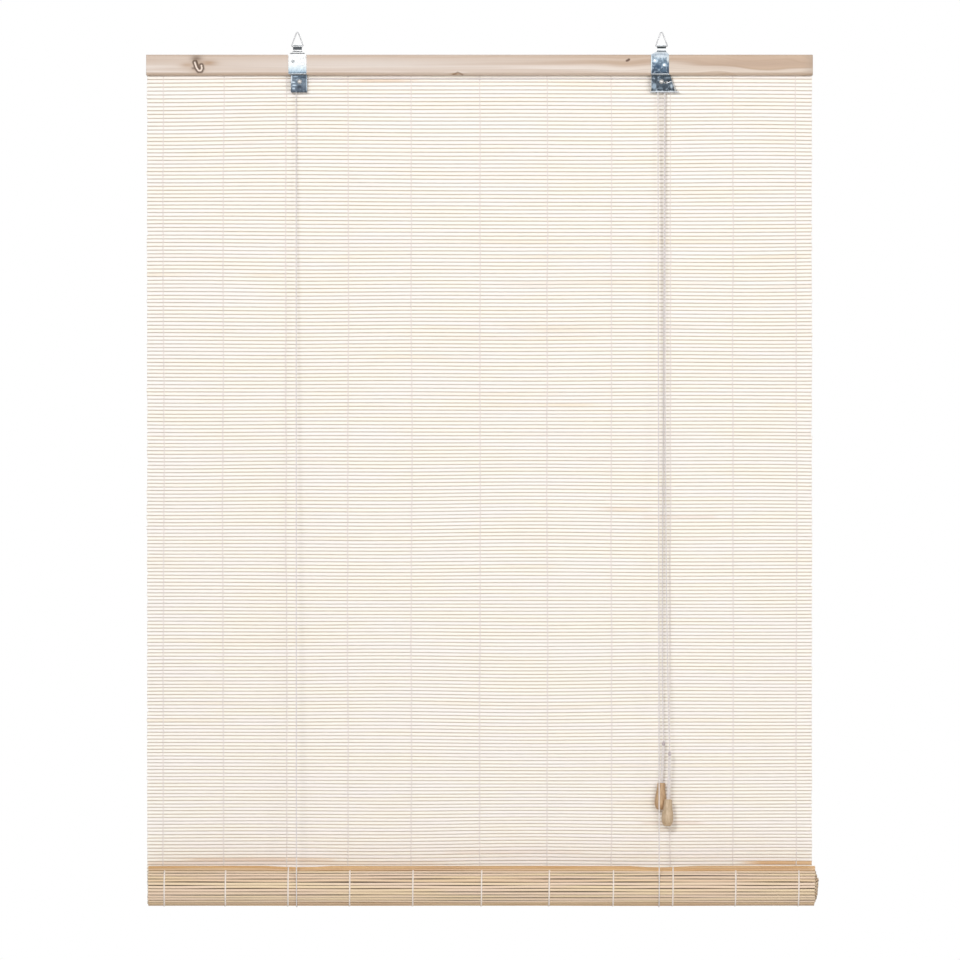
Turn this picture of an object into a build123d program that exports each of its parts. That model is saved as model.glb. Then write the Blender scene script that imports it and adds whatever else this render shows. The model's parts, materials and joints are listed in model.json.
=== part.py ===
from build123d import *
import math
import os

# Bamboo roll-up blind, in millimetres. X runs along the batten, -Y is the room side, +Z is up.
# The origin is midway between the two hook points, at the inside top of the hanger rings.

# Batten, mat and where the hooks are
mat_w = 900.0
batten_overhang = 1.0  # past the mat at each end
batten_h = 28.0
batten_d = 12.0
batten_edge_r = 1.2
batten_foot_r = 4.0  # the lower front edge is rounder
batten_end_r = 0.8
batten_drop = 29.4  # from the hook points down to the batten's top
hook_half_span = 246.3

# Hanger ring
ring_wire_d = 1.6
ring_h = 19.0
ring_base_w = 16.4
ring_apex_r = 1.6
ring_corner_r = 1.2

# Bracket sheet
sheet_t = 1.0
sheet_corner_r = 0.6
bend_r = 0.9  # centreline radius of the sheet's bends
barrel_gap = 0.15  # round the ring wire, in the curled barrel
barrel_turn = 290.0  # degrees of curl
neck_w = 12.0
neck_jog = 0.8  # the neck stands behind the plate by this
shoulder_drop = 4.6  # the shoulders end this far above the batten's top
plate_w = 24.3
right_plate_shift = 2.1  # the right plate stands this far to the left of its hook

# Roller housings: cheeks below the plates, measured sideways from the hook
bend_rise = 1.8  # a plate is bent back this far above the batten's foot, round its lower edge
cheek_jog = 1.4  # the front cheek stands behind the plate by this
housing_drop = 1.9  # from the batten's foot down to the housings' walls
cheek_drop = 22.8  # the housings reach this far below the batten
housing_to_mat = 1.0
left_cheek_left = 8.9
left_cheek_right = 13.1
right_cheek_left = 13.7
right_cheek_top = 12.4
right_cheek_foot = 18.4
right_back_top = 13.4
right_back_foot = 21.6
floor_lip = 1.9  # the right housing's floor stands this far out at each side
floor_mouth = 15.0

# Nails: across from the plate's middle, and down from the batten's top
nail_places = {
    "left_outer_nail": (-5.9, 9.2),
    "left_inner_nail": (6.8, 12.6),
    "right_inner_nail": (-6.9, 8.1),
    "right_outer_nail": (5.8, 13.9),
}
nail_r = 0.9
nail_l = 10.0
nail_head_r = 2.0
nail_head_h = 0.8
nail_head_taper = 35.0

# Rollers and rivets
cord_d = 1.6
axle_drop = 65.8  # from the hook points down to the roller axles
left_axle_in = 2.8  # the axles stand this far in from the hooks
right_axle_in = 0.1
cord_bend_r = 4.7  # centreline of a cord on its roller
roller_flange_r = 5.2
roller_flange_t = 0.8
roller_side_gap = 0.3
roller_play = 0.08
groove_gap = 0.05
rivet_r = 1.5
rivet_play = 0.05
rivet_head_r = 3.1
rivet_head_h = 1.2
rivet_tail_r = 2.3
rivet_tail_h = 0.5

# Cord lock in the right housing
lock_r = 1.9
lock_journal_r = 1.1
lock_play = 0.1
lock_teeth = 14
lock_tooth_h = 0.35
lock_travel = 3.0
lock_run = 2.6  # the slots run on this far below the locked pin
lock_slope = 18.0  # degrees above level
lock_pinch_gap = 0.1
lock_drop = 0.6  # the locked pin stands this far below the roller's axle

# Reed mat: the sticks lie closer towards the bottom
mat_t = 3.4
web_t = 1.2
pitch_top = 5.25
pitch_bottom = 4.5
mat_top_cover = 6.6  # the mat's top edge is this far below the batten's top
flat_length = 1117.0
stick_shoulder = 1.0  # from a groove to the flat of a stick
gap_h = 0.9
gap_margin = 13.0
grooves_per_gap = 2

# Roll
turns = 4
turn_pitch = 4.7
roll_start_r = 26.95  # axis to the middle of the mat, where it leaves the roll
roll_sticks = 36  # on the outer turn
turn_shift = 1.5  # each inner turn stands this far to the right of the next
roll_shift = 2.0
roll_mat_gap = 0.3
rail_play = 0.05
rail_short = 1.0
rail_edge = 0.75

# Lift cords
left_cord_drift = 1.3  # a front leg meets its sling this far to the right of its roller's side
right_cord_drift = 1.0
sling_gap = 0.3
cord_end_lift = 0.5  # end knots stand this far above the mat's top edge
end_knot = (2.1, 4.2)  # radius and height
knot_edge = 0.7

# Staples
staple_w = 0.7
staple_leg = 8.0
staple_count = 7
staple_edge = 50.0
cord_staple_half = 1.8

# Tassels
tassel_l = 36.0
tassel_top_r = 5.4
tassel_r = 7.9
tassel_belly = 9.6  # height of the widest point above the foot
tassel_foot_r = 4.4
tassel_waist = 0.58  # how far down from rim to belly the side turns from hollow to round
tassel_edge = 0.6
tassel_bore_r = 2.0
tassel_recess_r = 3.2
tassel_recess = 9.0
tassel_gap = 0.6  # between the tassels, and from the rear one to the mat

# Each tassel's doubled cord hangs from a knot, whose foot is this far above the roll's axis
cord_knot = (2.6, 7.0)  # radius and height
loop_half = 0.95
loop_start = 0.3  # the doubled cord starts this far up, and is cut where it meets the knot
rear_knot_lift = 188.1
rear_knot_in = 1.9  # how far in from the cords' exit
rear_hang = 49.8  # from the knot's foot to the tassel's top
rear_lean = 3.2  # degrees to the left, going down
front_knot_lift = 174.5
front_knot_out = 6.3
front_hang = 58.3
front_lean = 2.1

# Worked out: depth of each layer
ring_base_z = ring_wire_d / 2 - ring_h
barrel_r = ring_wire_d / 2 + barrel_gap + sheet_t / 2
neck_y = -barrel_r
plate_y = neck_y - neck_jog
cheek_y = plate_y + cheek_jog
batten_y = plate_y + sheet_t / 2
mat_front_y = batten_y + batten_d
mat_y = mat_front_y + mat_t / 2
back_cheek_y = mat_front_y - housing_to_mat - sheet_t / 2
batten_l = mat_w + 2 * batten_overhang
batten_top = -batten_drop
batten_foot = batten_top - batten_h
bend_z = batten_foot + bend_rise
roof_z = bend_z - cheek_jog
wall_z = batten_foot - housing_drop
cheek_foot = batten_foot - cheek_drop
shoulder_z = batten_top + shoulder_drop
cord_r = cord_d / 2

# Worked out: plates, axles and the lock pin, across the blind
left_plate_x = -hook_half_span
right_plate_x = hook_half_span - right_plate_shift
left_axle_x = -hook_half_span + left_axle_in
right_axle_x = hook_half_span - right_axle_in
axle_z = -axle_drop
lock_x = right_axle_x + cord_bend_r + cord_r + lock_pinch_gap + lock_r
lock_z = axle_z - lock_drop
lock_angle = math.radians(lock_slope)
slot_half = (lock_travel - lock_run) / 2  # from the locked pin up to the slots' middle
slot_middle = (lock_x + slot_half * math.cos(lock_angle), lock_z + slot_half * math.sin(lock_angle))

# Worked out: the rollers between the cheeks
inner_front = cheek_y + sheet_t / 2
inner_back = back_cheek_y - sheet_t / 2
roller_w = inner_back - inner_front - 2 * roller_side_gap
roller_y = (inner_back + inner_front) / 2
groove_w = (roller_w - 3 * roller_flange_t) / 2
front_groove_y = roller_y - (roller_flange_t + groove_w) / 2
rear_groove_y = roller_y + (roller_flange_t + groove_w) / 2
groove_r = cord_bend_r - cord_r - groove_gap

# Worked out: the roll hangs in front of the mat, which leaves it at its back
mat_top = batten_top - mat_top_cover
roll_z = mat_top - flat_length
roll_y = mat_y - roll_start_r
stick_count = round(flat_length / ((pitch_top + pitch_bottom) / 2))
rail_shift = turn_pitch / 4
sling_centre_y = roll_y + rail_shift
sling_r = roll_start_r - rail_shift + mat_t / 2 + cord_r + sling_gap
back_cord_y = sling_centre_y + sling_r
cord_end_z = mat_top + cord_end_lift
left_sling_x = left_axle_x - cord_bend_r + left_cord_drift
right_sling_x = right_axle_x - cord_bend_r + right_cord_drift

nail_spots = {}
for name, (across, down) in nail_places.items():
    plate_x = left_plate_x if name.startswith("left") else right_plate_x
    nail_spots[name] = (plate_x + across, batten_top - down)


def groove_z(index):
    """Height of the groove below stick number index, as the pitch shrinks downwards."""
    share = index / stick_count
    run = pitch_top * share - (pitch_top - pitch_bottom) * share**2 / 2
    return mat_top - (flat_length - roll_mat_gap) * run / ((pitch_top + pitch_bottom) / 2)


staple_step = (mat_w - 2 * staple_edge) / (staple_count - 1)
staple_xs = [-mat_w / 2 + staple_edge + staple_step * i for i in range(staple_count)]
leg_tops = (groove_z(1), groove_z(1 + grooves_per_gap))
cord_leg_xs = [x + s * cord_staple_half for x in (left_sling_x, right_sling_x) for s in (-1, 1)]
staple_lift = mat_t + staple_w
cord_staple_lift = back_cord_y + cord_r + staple_w - mat_front_y


def finish(piece, name):
    piece.label = name
    export_step(piece, f"parts/{name}.step")


def tube(start, end, radius):
    """A straight tube from one point to another."""
    with BuildPart() as piece:
        with BuildLine() as run:
            Line(start, end)
        with BuildSketch(run.line ^ 0):
            Circle(radius)
        sweep()
    return piece.part


def bent_tube(edges, radius):
    """A tube along a finished wire."""
    with BuildPart() as piece:
        with BuildSketch(edges ^ 0):
            Circle(radius)
        sweep(path=edges)
    return piece.part


def knot(size, foot):
    """A wound knot, as an upright barrel round the cord, that stands on a point."""
    radius, height = size
    with BuildPart() as piece:
        with BuildSketch(Plane(foot)):
            Circle(radius)
        extrude(amount=height)
        chamfer(piece.edges(), knot_edge)
    return piece.part


os.makedirs("parts", exist_ok=True)

# Head batten, with the holes that the nails and staples made
with BuildPart() as head_batten:
    with BuildSketch(Plane.YZ.offset(-batten_l / 2)) as batten_section:
        with Locations((batten_y + batten_d / 2, batten_foot + batten_h / 2)):
            Rectangle(batten_d, batten_h)
        *others, front_foot = batten_section.vertices().sort_by(Axis((0, 0), (1, 1)), reverse=True)
        fillet(front_foot, batten_foot_r)
        fillet(others, batten_edge_r)
    extrude(amount=batten_l)
    fillet(head_batten.faces().filter_by(Axis.X).edges(), batten_end_r)
    with BuildSketch(Plane.XZ.offset(-batten_y)):
        with Locations(*nail_spots.values()):
            Circle(nail_r)
    extrude(amount=-nail_l, mode=Mode.SUBTRACT)
    with BuildSketch(Plane.XZ.offset(-mat_front_y)):
        with Locations(*[(x, z) for x in staple_xs for z in leg_tops]):
            Rectangle(staple_w, staple_w)
        with Locations(*[(x, leg_tops[0]) for x in cord_leg_xs]):
            Rectangle(staple_w, staple_w)
    extrude(amount=staple_leg, mode=Mode.SUBTRACT)
finish(head_batten.part, "head_batten")


def strip(plane, top_x, foot_x):
    """The housing's side wall where it meets a cheek: a strip one sheet wide, on its own plane."""
    with BuildSketch(plane) as section:
        with BuildLine():
            Polyline(
                (top_x, wall_z),
                (foot_x, cheek_foot),
                (foot_x - sheet_t, cheek_foot),
                (top_x - sheet_t, wall_z),
                close=True,
            )
        make_face()
    return section.sketch.face()


def bracket(hook_x, plate_x, axle_x, front_cheek, back_cheek, wall_at_right, with_lock):
    """One strap bent down the front, and a side wall and a back cheek round the roller.

    A cheek is given by the x of its left edge, and of its right edge at the top and at the foot.
    """
    left, right_top, right_foot = front_cheek
    back_left, back_right_top, back_right_foot = back_cheek
    right_roof = right_top + (right_top - right_foot) * (roof_z - wall_z) / (wall_z - cheek_foot)
    half = plate_w / 2
    neck = neck_w / 2
    depth = back_cheek_y - cheek_y + sheet_t
    if wall_at_right:
        front_wall = (right_top, right_foot)
        back_wall = (back_right_top, back_right_foot)
    else:
        front_wall = (left + sheet_t, left + sheet_t)
        back_wall = (back_left + sheet_t, back_left + sheet_t)
    walls = [
        strip(Plane.XZ.offset(-cheek_y), *front_wall),
        strip(Plane.XZ.offset(-back_cheek_y), *back_wall),
    ]
    with BuildPart() as piece:
        with BuildSketch(Plane.YZ.offset(hook_x)):
            with BuildLine() as run:
                strap = FilletPolyline(
                    (cheek_y, cheek_foot),
                    (cheek_y, roof_z),
                    (plate_y, bend_z),
                    (plate_y, shoulder_z - neck_jog),
                    (neck_y, shoulder_z),
                    (neck_y, ring_base_z),
                    radius=bend_r,
                )
                JernArc(strap @ 1, (0, 1), barrel_r, -barrel_turn)
            trace(run.line, line_width=sheet_t)
        extrude(amount=plate_w + batten_drop, both=True)
        with BuildSketch(Plane.XZ) as front_outline:
            with BuildLine():
                Polyline(
                    (hook_x - neck, 0),
                    (hook_x - neck, shoulder_z),
                    (plate_x - half, batten_top),
                    (plate_x - half, bend_z),
                    (left, roof_z),
                    (left, cheek_foot),
                    (right_foot, cheek_foot),
                    (right_roof, roof_z),
                    (plate_x + half, bend_z),
                    (plate_x + half, batten_top),
                    (hook_x + neck, shoulder_z),
                    (hook_x + neck, 0),
                    close=True,
                )
            make_face()
            fillet(front_outline.vertices().group_by(Axis.Y)[1:-1], sheet_corner_r)
        extrude(amount=batten_drop, both=True, mode=Mode.INTERSECT)
        loft(walls, ruled=True)
        with BuildSketch(Plane.XZ.offset(-back_cheek_y - sheet_t / 2)):
            with BuildLine():
                Polyline(
                    (back_left, wall_z),
                    (back_left, cheek_foot),
                    (back_right_foot, cheek_foot),
                    (back_right_top, wall_z),
                    close=True,
                )
            make_face()
        extrude(amount=sheet_t)
        if with_lock:
            with BuildSketch(Plane.XY.offset(cheek_foot)):
                with Locations(((left + back_right_foot) / 2, (cheek_y + back_cheek_y) / 2)):
                    Rectangle(back_right_foot - left + 2 * floor_lip, depth)
                with Locations((axle_x, roller_y)):
                    Rectangle(floor_mouth, roller_w, mode=Mode.SUBTRACT)
            extrude(amount=sheet_t)
            with BuildSketch(Plane.XZ.offset(-cheek_y + sheet_t)):
                with Locations(Location(slot_middle, lock_slope)):
                    SlotCenterToCenter(lock_travel + lock_run, 2 * (lock_journal_r + lock_play))
            extrude(amount=-depth - sheet_t, mode=Mode.SUBTRACT)
        with BuildSketch(Plane.XZ.offset(-cheek_y + sheet_t)):
            with Locations((axle_x, axle_z)):
                Circle(rivet_r + rivet_play)
        extrude(amount=-depth - sheet_t, mode=Mode.SUBTRACT)
        with BuildSketch(Plane.XZ.offset(-plate_y + sheet_t)):
            with Locations(*[spot for spot in nail_spots.values() if abs(spot[0] - plate_x) < half]):
                Circle(nail_r)
        extrude(amount=-2 * sheet_t, mode=Mode.SUBTRACT)
    return piece.part


left_cheek = (
    -hook_half_span - left_cheek_left,
    -hook_half_span + left_cheek_right,
    -hook_half_span + left_cheek_right,
)
right_front_cheek = (
    hook_half_span - right_cheek_left,
    hook_half_span + right_cheek_top,
    hook_half_span + right_cheek_foot,
)
right_back_cheek = (
    hook_half_span - right_cheek_left,
    hook_half_span + right_back_top,
    hook_half_span + right_back_foot,
)
left_bracket = bracket(-hook_half_span, left_plate_x, left_axle_x, left_cheek, left_cheek, False, False)
finish(left_bracket, "left_bracket")
right_bracket = bracket(
    hook_half_span, right_plate_x, right_axle_x, right_front_cheek, right_back_cheek, True, True
)
finish(right_bracket, "right_bracket")

# Hanger rings, bent from wire: each leg is tangent to the bend at the top
top_rise = ring_h - ring_apex_r
half_base = ring_base_w / 2
leg_lean = math.atan2(top_rise, half_base) + math.asin(ring_apex_r / math.hypot(top_rise, half_base))
leg_rise = half_base * math.tan(leg_lean)
for hook_x, name in ((-hook_half_span, "left_ring"), (hook_half_span, "right_ring")):
    with BuildLine(Plane.XZ) as triangle:
        FilletPolyline(
            (hook_x - half_base, ring_base_z),
            (hook_x + half_base, ring_base_z),
            (hook_x, ring_base_z + leg_rise),
            radius=[ring_corner_r, ring_corner_r, ring_apex_r],
            close=True,
        )
    finish(bent_tube(triangle.line, ring_wire_d / 2), name)

# Nails, driven through the plates into the batten
for name, (x, z) in nail_spots.items():
    with BuildPart() as nail:
        with BuildSketch(Plane.XZ.offset(-plate_y + sheet_t / 2)):
            with Locations((x, z)):
                Circle(nail_head_r)
        extrude(amount=nail_head_h, taper=nail_head_taper)
        with BuildSketch(Plane.XZ.offset(-plate_y + sheet_t / 2)):
            with Locations((x, z)):
                Circle(nail_r)
        extrude(amount=-nail_l - sheet_t)
    finish(nail.part, name)


def dome_middle(height, radius):
    """Halfway out on a round head: how far that point is below the top, and how far from the middle."""
    ball_r = (radius**2 + height**2) / (2 * height)
    return ball_r - math.sqrt(ball_r**2 - radius**2 / 4), radius / 2


# Rollers on riveted axles
for side, axle_x in (("left", left_axle_x), ("right", right_axle_x)):
    axle = Plane(origin=(axle_x, roller_y, axle_z), x_dir=(0, 1, 0), z_dir=(1, 0, 0))
    axle_line = Axis((axle_x, roller_y, axle_z), (0, 1, 0))
    edge = roller_w / 2
    rib = roller_flange_t / 2
    slope = (roller_flange_r - groove_r) / 3
    with BuildPart() as roller:
        with BuildSketch(axle):
            with BuildLine():
                Polyline(
                    (-edge, rivet_r + roller_play),
                    (-edge, roller_flange_r),
                    (-edge + roller_flange_t, roller_flange_r),
                    (-edge + roller_flange_t + slope, groove_r),
                    (-rib - slope, groove_r),
                    (-rib, roller_flange_r),
                    (rib, roller_flange_r),
                    (rib + slope, groove_r),
                    (edge - roller_flange_t - slope, groove_r),
                    (edge - roller_flange_t, roller_flange_r),
                    (edge, roller_flange_r),
                    (edge, rivet_r + roller_play),
                    close=True,
                )
            make_face()
        revolve(axis=axle_line)
    finish(roller.part, f"{side}_roller")

    front = cheek_y - sheet_t / 2 - roller_y
    back = back_cheek_y + sheet_t / 2 - roller_y
    head_below, head_out = dome_middle(rivet_head_h, rivet_head_r)
    tail_below, tail_out = dome_middle(rivet_tail_h, rivet_tail_r)
    head_top = front - rivet_head_h
    tail_top = back + rivet_tail_h
    with BuildPart() as rivet:
        with BuildSketch(axle):
            with BuildLine():
                ThreePointArc((head_top, 0), (head_top + head_below, head_out), (front, rivet_head_r))
                Polyline((front, rivet_head_r), (front, rivet_r), (back, rivet_r), (back, rivet_tail_r))
                ThreePointArc((back, rivet_tail_r), (tail_top - tail_below, tail_out), (tail_top, 0))
                Line((tail_top, 0), (head_top, 0))
            make_face()
        revolve(axis=axle_line)
    finish(rivet.part, f"{side}_roller_rivet")

# Knurled lock pin: its journals run in the two inclined slots
with BuildPart() as lock_pin:
    with BuildSketch(Plane.XZ.offset(-inner_front - roller_side_gap)):
        with Locations((lock_x, lock_z)):
            Circle(lock_r - lock_tooth_h)
            with PolarLocations(lock_r - lock_tooth_h, lock_teeth):
                RegularPolygon(lock_tooth_h, 3)
    extrude(amount=-roller_w)
    with BuildSketch(Plane.XZ.offset(-cheek_y + sheet_t / 2)):
        with Locations((lock_x, lock_z)):
            Circle(lock_journal_r)
    extrude(amount=-(back_cheek_y - cheek_y) - sheet_t)
finish(lock_pin.part, "lock_pin")

# Reed mat: one wall with a ridge for each stick on both faces, and long gaps between sticks
with BuildPart() as reed_mat:
    with BuildSketch(Plane.YZ.offset(-mat_w / 2)):
        with BuildLine():
            back_face = []
            for i in range(stick_count):
                top, foot = groove_z(i), groove_z(i + 1)
                back_face += [
                    (web_t / 2, top),
                    (mat_t / 2, top - stick_shoulder),
                    (mat_t / 2, foot + stick_shoulder),
                ]
            back_face.append((web_t / 2, groove_z(stick_count)))
            outline = [(mat_y + y, z) for y, z in back_face]
            outline += [(mat_y - y, z) for y, z in reversed(back_face)]
            Polyline(*outline, close=True)
        make_face()
    extrude(amount=mat_w)
    with BuildSketch(Plane.XZ.offset(-mat_y)):
        with Locations(*[(0, groove_z(i)) for i in range(1, stick_count, grooves_per_gap)]):
            Rectangle(mat_w - 2 * gap_margin, gap_h)
    extrude(amount=mat_t, both=True, mode=Mode.SUBTRACT)
finish(reed_mat.part, "reed_mat")


# Roll: a spiral of half circles, whose centres lie a quarter of the turn pitch either side of the axis
def half_turn(number):
    centre = rail_shift if number % 2 == 0 else -rail_shift
    return centre, roll_start_r - rail_shift - number * turn_pitch / 2


def on_spiral(turned, out):
    """A point after so many half turns down from the back, so far outside the mat's middle."""
    centre, radius = half_turn(min(int(turned), 2 * turns - 1))
    angle = math.pi * turned
    return (
        roll_y + centre + (radius + out) * math.cos(angle),
        roll_z - (radius + out) * math.sin(angle),
    )


def half_arcs(numbers, out):
    """Arcs along the given half turns; a list that counts down runs them backwards."""
    for number in numbers:
        centre, radius = half_turn(number)
        side = (-1) ** number
        ends = [(roll_y + centre + s * (radius + out) * side, roll_z) for s in (1, -1)]
        middle = (roll_y + centre, roll_z - (radius + out) * side)
        if numbers[0] > numbers[-1]:
            ends.reverse()
        ThreePointArc(ends[0], middle, ends[1])


rail_centre, rail_turn_r = half_turn(2 * turns - 1)
rail_r = rail_turn_r - mat_t / 2 - rail_play
roll_left = -mat_w / 2 + roll_shift
roll_right = mat_w / 2 + roll_shift
core_shift = roll_start_r * turn_shift / turn_pitch  # both ends are cut to cones that lean to the right
roll_line = Axis((0, roll_y, roll_z), (1, 0, 0))
beyond = 2 * roll_start_r

with BuildPart() as reed_roll:
    with BuildSketch(Plane.YZ.offset(roll_left)):
        with BuildLine():
            step = 2 / roll_sticks
            shoulder = stick_shoulder / (math.pi * roll_start_r)
            ridges = []
            for i in range(roll_sticks):
                ridges += [
                    on_spiral(i * step, web_t / 2),
                    on_spiral(i * step + shoulder, mat_t / 2),
                    on_spiral((i + 1) * step - shoulder, mat_t / 2),
                ]
            ridges.append(on_spiral(2, mat_t / 2))
            Polyline(*ridges)
            half_arcs(list(range(2, 2 * turns)), mat_t / 2)
            Line(
                (roll_y + rail_centre + rail_turn_r + mat_t / 2, roll_z),
                (roll_y + rail_centre + rail_turn_r - mat_t / 2, roll_z),
            )
            half_arcs(list(range(2 * turns - 1, -1, -1)), -mat_t / 2)
            Line((mat_y - mat_t / 2, roll_z), on_spiral(0, web_t / 2))
        make_face()
    extrude(amount=mat_w + core_shift)
    with BuildSketch(Plane(origin=(0, roll_y, roll_z), x_dir=(1, 0, 0), z_dir=(0, -1, 0))):
        for rim_x, outward in ((roll_right, 1), (roll_left, -1)):
            with BuildLine():
                Polyline(
                    (rim_x - core_shift, beyond),
                    (rim_x + core_shift, 0),
                    (rim_x + 2 * outward * core_shift, 0),
                    (rim_x + 2 * outward * core_shift, beyond),
                    close=True,
                )
            make_face()
    revolve(axis=roll_line, mode=Mode.SUBTRACT)
finish(reed_roll.part, "reed_roll")

rail_left = roll_left + core_shift * (1 - rail_r / roll_start_r) + rail_short
with BuildPart() as bottom_rail:
    with BuildSketch(Plane.YZ.offset(rail_left)):
        with Locations((roll_y + rail_centre, roll_z)):
            Circle(rail_r)
    extrude(amount=mat_w - 2 * rail_short)
    chamfer(bottom_rail.edges(), rail_edge)
finish(bottom_rail.part, "bottom_rail")


def staple(crown, lift, plane, legs_at):
    """A flat-wire staple whose legs go into the batten's back, drawn in a plane that holds its depth."""
    with BuildPart() as piece:
        with BuildSketch(plane):
            with Locations(((lift - staple_leg) / 2, legs_at)):
                Rectangle(staple_leg + lift, crown + staple_w)
            with Locations(((lift - staple_leg) / 2 - staple_w, legs_at)):
                Rectangle(staple_leg + lift, crown - staple_w, mode=Mode.SUBTRACT)
        extrude(amount=staple_w / 2, both=True)
    return piece.part


# Staples: seven across the mat's top edge, and one round each lift cord
with BuildPart() as mat_staples:
    for x in staple_xs:
        upright = Plane(origin=(x, mat_front_y, 0), x_dir=(0, 1, 0), z_dir=(1, 0, 0))
        add(staple(leg_tops[0] - leg_tops[1], staple_lift, upright, sum(leg_tops) / 2))
finish(mat_staples.part, "mat_staples")

for x, name in ((left_sling_x, "left_cord_staple"), (right_sling_x, "right_cord_staple")):
    level = Plane(origin=(x, mat_front_y, leg_tops[0]), x_dir=(0, 1, 0), z_dir=(0, 0, -1))
    finish(staple(2 * cord_staple_half, cord_staple_lift, level, 0), name)

# Lift cords: up the back, under the roll, up the front to the rollers
for side, axle_x, sling_x, groove_y in (
    ("left", left_axle_x, left_sling_x, rear_groove_y),
    ("right", right_axle_x, right_sling_x, front_groove_y),
):
    rise = axle_z - roll_z
    forward = groove_y - sling_centre_y
    lean = math.acos(sling_r / math.hypot(forward, rise)) + math.atan2(rise, forward)
    sling_back = (sling_x, back_cord_y, roll_z)
    sling_front = (
        sling_x,
        sling_centre_y + sling_r * math.cos(lean),
        roll_z + sling_r * math.sin(lean),
    )
    roller_side = (axle_x - cord_bend_r, groove_y, axle_z)
    finish(tube(roller_side, sling_front, cord_r), f"{side}_cord_front_leg")
    finish(tube((sling_x, back_cord_y, cord_end_z), sling_back, cord_r), f"{side}_cord_back_leg")
    finish(knot(end_knot, (sling_x, back_cord_y, cord_end_z)), f"{side}_cord_end_knot")
    with BuildLine() as under:
        ThreePointArc(sling_back, (sling_x, sling_centre_y, roll_z - sling_r), sling_front)
    finish(bent_tube(under.line, cord_r), f"{side}_cord_sling")

# Cord runs over the rollers: the left cord crosses to the right roller
with BuildLine(Plane.XZ.offset(-rear_groove_y)) as crossing:
    over_left = CenterArc((left_axle_x, axle_z), cord_bend_r, 180, -90)
    Line(over_left @ 1, (right_axle_x, axle_z + cord_bend_r))
    CenterArc((right_axle_x, axle_z), cord_bend_r, 90, -90)
finish(bent_tube(crossing.line, cord_r), "cross_cord")

with BuildLine(Plane.XZ.offset(-front_groove_y)) as over_right:
    CenterArc((right_axle_x, axle_z), cord_bend_r, 180, -180)
finish(bent_tube(over_right.line, cord_r), "right_cord_turn")


# Pull cords, and the tassels that hang from their knots
def neck_radius(height):
    """Radius of a tassel so far above its foot, where its side is hollow."""
    rim = tassel_l - tassel_edge
    spread = (tassel_r - tassel_top_r) * tassel_waist
    fall = (rim - tassel_belly) * tassel_waist
    arc_r = (fall**2 + spread**2) / (2 * spread)
    return tassel_top_r + arc_r - math.sqrt(arc_r**2 - (rim - height) ** 2)


def on_hang(knot_x, knot_z, lean, z):
    """The x of a leaning tassel's axis at a height."""
    return knot_x - (knot_z - z) * math.tan(math.radians(lean))


exit_x = right_axle_x + cord_bend_r
rear_x = exit_x - rear_knot_in
rear_y = mat_front_y - tassel_r - tassel_gap
rear_z = roll_z + rear_knot_lift
rear_belly_z = rear_z - (rear_hang + tassel_l - tassel_belly) * math.cos(math.radians(rear_lean))
front_x = exit_x + front_knot_out
front_z = roll_z + front_knot_lift
front_foot_z = front_z - (front_hang + tassel_l) * math.cos(math.radians(front_lean))
tassels_apart = tassel_r + neck_radius(rear_belly_z - front_foot_z) + tassel_gap
rear_belly_x = on_hang(rear_x, rear_z, rear_lean, rear_belly_z)
front_neck_x = on_hang(front_x, front_z, front_lean, rear_belly_z)
front_y = rear_y - math.sqrt(tassels_apart**2 - (front_neck_x - rear_belly_x) ** 2)

for side, groove_y, knot_foot, hang, lean, loop_name in (
    ("rear", rear_groove_y, (rear_x, rear_y, rear_z), rear_hang, rear_lean, "rear_tassel_cord"),
    ("front", front_groove_y, (front_x, front_y, front_z), front_hang, front_lean, "front_tassel_loop"),
):
    leaning = Location(knot_foot, (0, lean, 0))
    pull_end = (knot_foot[0], knot_foot[1], knot_foot[2] + cord_knot[1])
    foot = -hang - tassel_l
    waist = (
        tassel_top_r + (tassel_r - tassel_top_r) * tassel_waist,
        foot + tassel_l - tassel_edge - (tassel_l - tassel_edge - tassel_belly) * tassel_waist,
    )
    rim = (tassel_top_r, foot + tassel_l - tassel_edge)
    belly = (tassel_r, foot + tassel_belly)
    finish(tube((exit_x, groove_y, axle_z), pull_end, cord_r), f"{side}_pull_cord")
    hung_knot = knot(cord_knot, knot_foot)
    finish(hung_knot, f"{side}_cord_knot")

    with BuildPart() as loop:
        with BuildSketch(Plane.XY.offset(loop_start)):
            with Locations((-loop_half, 0), (loop_half, 0)):
                Circle(cord_r)
        extrude(amount=foot + tassel_recess - loop_start)
    finish(leaning * loop.part - hung_knot, loop_name)

    with BuildPart() as tassel:
        with BuildSketch(Plane.XZ):
            with BuildLine():
                Polyline(
                    (tassel_foot_r, foot),
                    (tassel_recess_r, foot),
                    (tassel_recess_r, foot + tassel_recess),
                    (tassel_bore_r, foot + tassel_recess),
                    (tassel_bore_r, -hang),
                    (tassel_top_r - tassel_edge, -hang),
                    rim,
                )
                TangentArc(rim, waist, tangent=(0, -1))
                TangentArc(belly, waist, tangent=(0, 1))
                TangentArc(belly, (tassel_foot_r, foot), tangent=(0, -1))
            make_face()
        revolve(axis=Axis.Z)
    finish(leaning * tassel.part, f"{side}_tassel")
    inner_knot = knot(end_knot, (0, 0, foot + tassel_recess - end_knot[1]))
    finish(leaning * inner_knot, f"{side}_tassel_knot")

half_turn_lengths = [math.pi * half_turn(number)[1] for number in range(2 * turns)]
print("mat on the roll", round(sum(half_turn_lengths), 2), "sticks", stick_count)
print("roll axis", round(roll_y, 3), round(roll_z, 3))
print("sling centre and radius", round(sling_centre_y, 3), round(sling_r, 3))
print("rear knot", round(rear_x, 3), round(rear_y, 3), round(rear_z, 3))
print("front knot", round(front_x, 3), round(front_y, 3), round(front_z, 3))
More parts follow.
